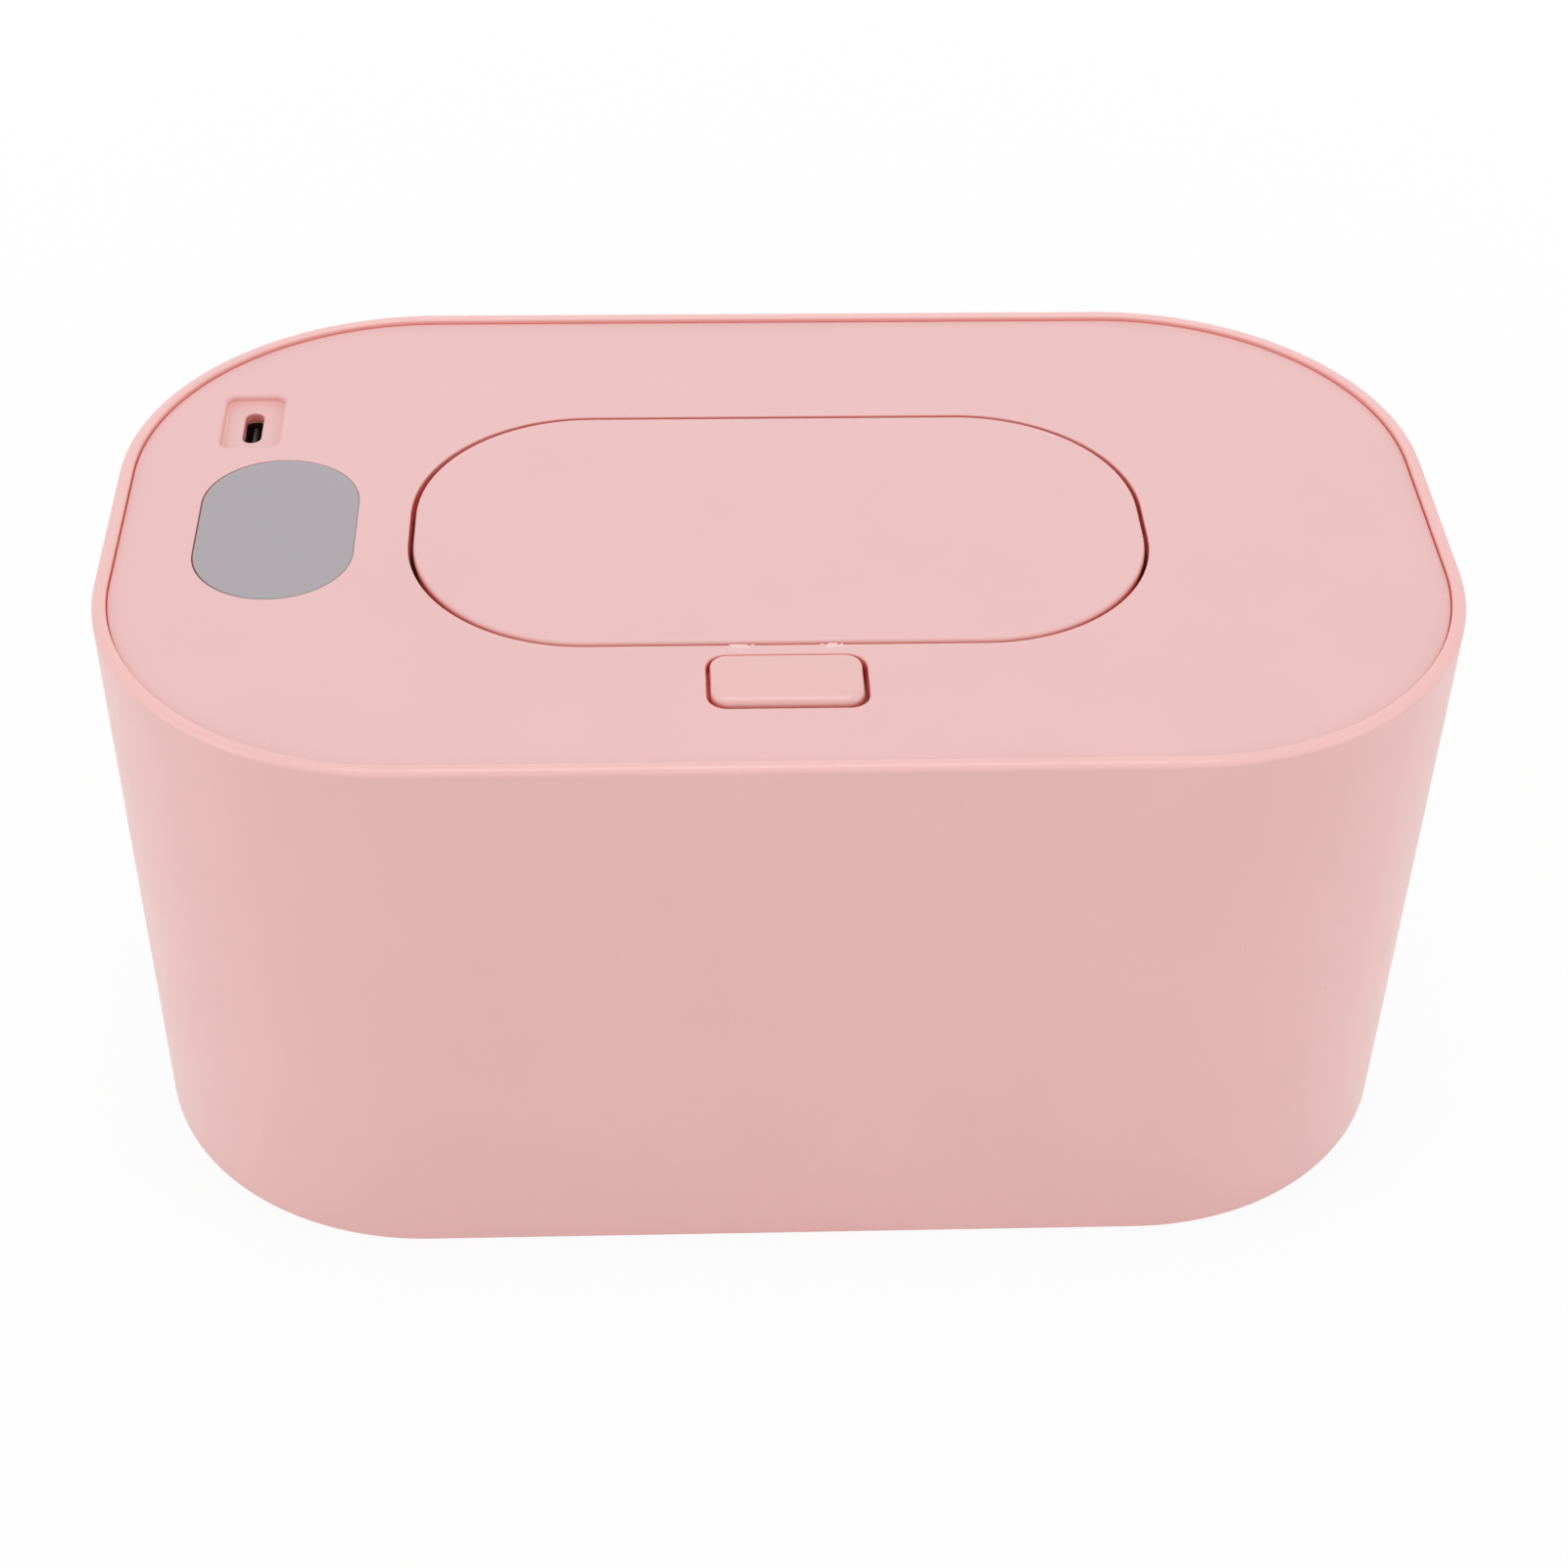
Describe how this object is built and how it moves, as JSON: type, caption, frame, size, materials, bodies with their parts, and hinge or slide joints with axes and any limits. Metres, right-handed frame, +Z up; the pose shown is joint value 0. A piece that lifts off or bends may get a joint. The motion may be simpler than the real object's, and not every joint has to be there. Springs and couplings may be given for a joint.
{
  "type": "baby wipe warmer",
  "caption": "Rounded rectangular tub with a lift-out heated cover, a flip lid over the wipe outlet, a release button, a display window and a charging socket.",
  "frame": {"origin": "centre of the footprint, on the surface that the rubber feet stand on", "axes": "+X to the right seen from the front, -Y to the front, where the release button is, +Z up"},
  "size_m": [0.2, 0.1214, 0.094],
  "materials": {
    "case_pink": "semi-gloss moulded plastic",
    "inner_plastic": "satin moulded plastic",
    "white_plastic": "satin acetal",
    "grey_window": "smooth satin acrylic",
    "rubber_grey": "matte silicone rubber",
    "seal_silicone": "satin silicone",
    "aluminium": "fine brushed sheet",
    "polyimide": "amber film",
    "pad_foam": "felted heat-proof pad",
    "steel": "bright drawn steel",
    "board_green": "solder mask",
    "black_plastic": "moulded black plastic",
    "lead_rubber": "silicone insulation",
    "ceramic": "fired ceramic"
  },
  "bodies": {
    "base": {"tub": "case_pink", "rubber_feet": "rubber_grey"},
    "lid": {"flip_lid": "case_pink", "outlet_seal": "seal_silicone"},
    "button": {"release_button": "case_pink"},
    "latch": {"latch_slider": "white_plastic"},
    "cover": {"top_cover": "case_pink", "well_tray": "inner_plastic", "lower_cover": "inner_plastic", "insulation_pad": "pad_foam", "heating_film": "polyimide", "heating_plate": "aluminium", "thermistor": "black_plastic", "thermal_fuse": "ceramic", "heater_leads": "lead_rubber", "control_board": "board_green", "board_parts": "black_plastic", "charging_socket": "steel", "socket_tongue": "black_plastic", "digit_display": "white_plastic", "light_frame": "black_plastic", "touch_spring": "steel", "display_window": "grey_window", "cover_screws": "steel", "tray_screws": "steel", "board_screws": "steel", "hinge_pin": "steel", "lid_springs": "steel", "button_spring": "steel", "latch_spring": "steel", "latch_bracket": "inner_plastic", "bracket_screws": "steel"}
  },
  "joints": [
    {"name": "cover_lift", "type": "slide", "parent": "base", "child": "cover", "axis": [0, 0, 1], "range_m": [0, 0.045]},
    {"name": "lid_hinge", "type": "hinge", "parent": "cover", "child": "lid", "pos_m": [0, 0.0362, 0.0892], "axis": [-1, 0, 0], "range_deg": [0, 95]},
    {"name": "button_press", "type": "slide", "parent": "cover", "child": "button", "axis": [0, 0, -1], "range_m": [0, 0.002], "stiffness_N_per_m": 400, "deforming": ["button_spring"]},
    {"name": "latch_slide", "type": "slide", "parent": "cover", "child": "latch", "axis": [0, -1, 0], "range_m": [0, 0.002], "stiffness_N_per_m": 150, "deforming": ["latch_spring"]}
  ],
  "couplings": [
    {"joint": "latch_slide", "follows": "button_press", "ratio": 1}
  ]
}
